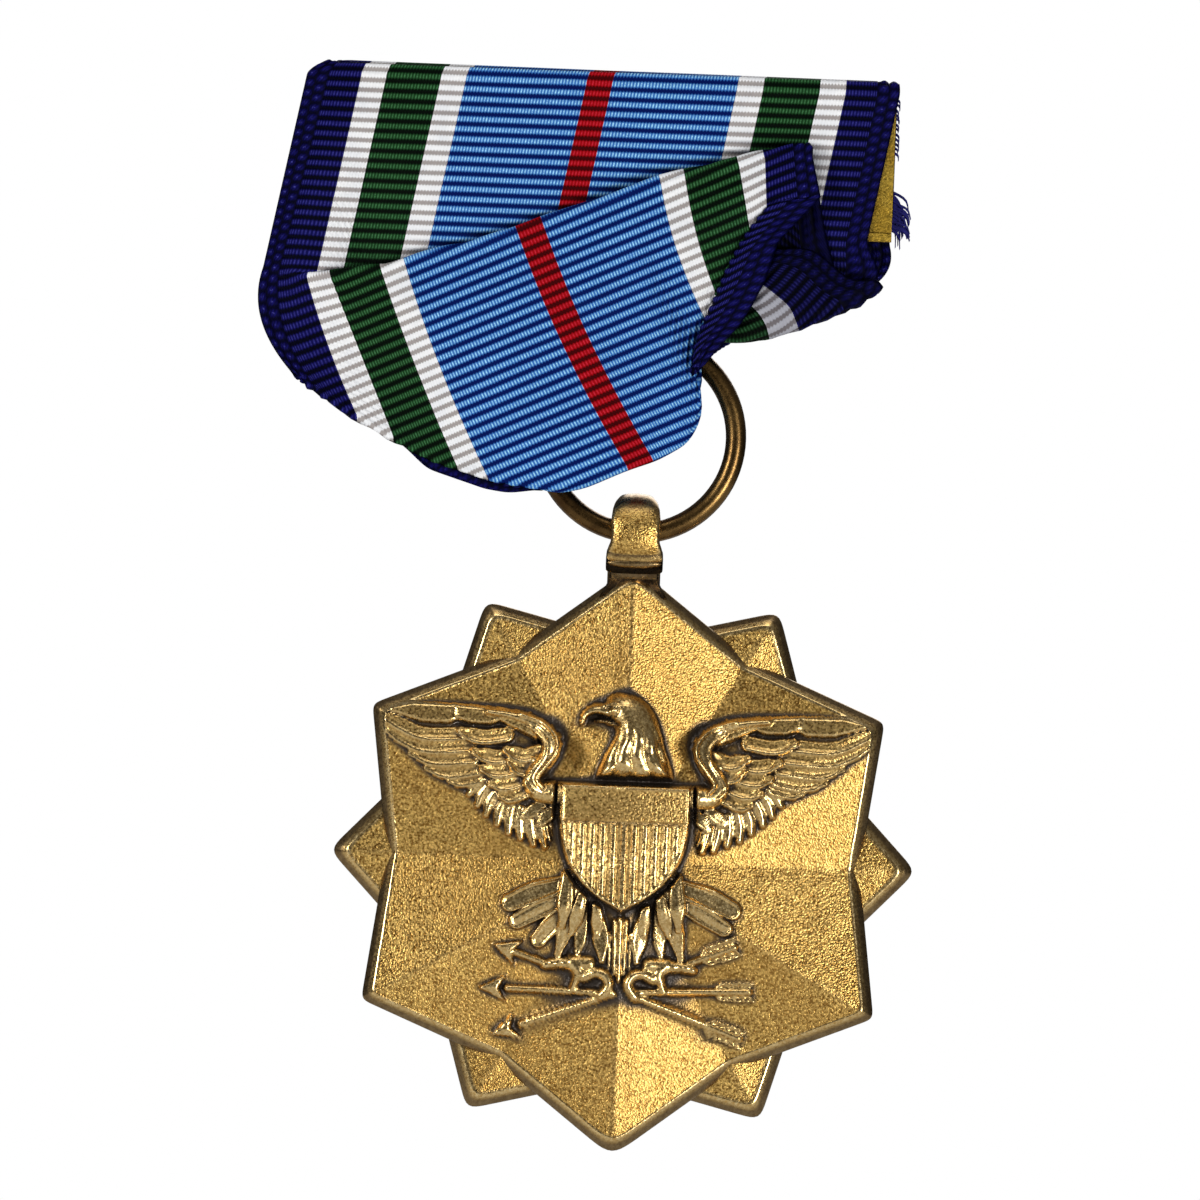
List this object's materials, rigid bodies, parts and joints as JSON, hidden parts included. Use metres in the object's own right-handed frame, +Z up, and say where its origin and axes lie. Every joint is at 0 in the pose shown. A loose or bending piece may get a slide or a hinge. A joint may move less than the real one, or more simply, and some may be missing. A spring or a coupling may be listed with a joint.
{
  "type": "military service medal",
  "caption": "Star-shaped bronze service medal with a raised eagle and shield, hung by a ring from a folded striped ribbon on a pin-back brooch bar.",
  "frame": {"origin": "on the pin stem's axis, level with the middle of the brooch bar", "axes": "+Z up, -Y out of the medal's front, +X to the right as seen from the front"},
  "size_m": [0.0412, 0.0084, 0.0662],
  "materials": {
    "bright_brass": "polished",
    "struck_bronze": "sandblasted and oxidised",
    "ring_bronze": "antiqued, satin",
    "pin_wire": "drawn wire",
    "ribbon": "ribbed grosgrain, striped"
  },
  "bodies": {
    "brooch": {"brooch_bar": "bright_brass", "plate_studs": "bright_brass", "back_plate": "bright_brass", "ribbon_head": "ribbon", "pin_joint": "bright_brass", "pin_rivet": "bright_brass", "catch_base": "bright_brass"},
    "drape": {"ribbon_drape": "ribbon"},
    "ring": {"suspension_ring": "ring_bronze"},
    "medal": {"pendant": "struck_bronze", "suspension_strap": "struck_bronze"},
    "stem": {"pin_stem": "pin_wire"},
    "catch": {"catch_rotor": "bright_brass"}
  },
  "joints": [
    {"name": "ribbon_bend", "type": "hinge", "parent": "brooch", "child": "drape", "pos_m": [0, -0.0042, -0.0056], "axis": [-1, 0, 0], "range_deg": [-20, 75]},
    {"name": "ring_turn", "type": "hinge", "parent": "drape", "child": "ring", "pos_m": [0.00245, -0.0042, -0.01706], "axis": [0, 1, 0], "range_deg": [-50, 14]},
    {"name": "medal_swing", "type": "hinge", "parent": "ring", "child": "medal", "pos_m": [0.00245, -0.0042, -0.02298], "axis": [-1, 0, 0], "range_deg": [-85, 85]},
    {"name": "pin_open", "type": "hinge", "parent": "brooch", "child": "stem", "pos_m": [-0.0135, 0, 0], "axis": [0, 0, 1], "range_deg": [0, 100]},
    {"name": "catch_turn", "type": "hinge", "parent": "brooch", "child": "catch", "pos_m": [0.0121, 0, 0], "axis": [1, 0, 0], "range_deg": [-100, 0]}
  ]
}
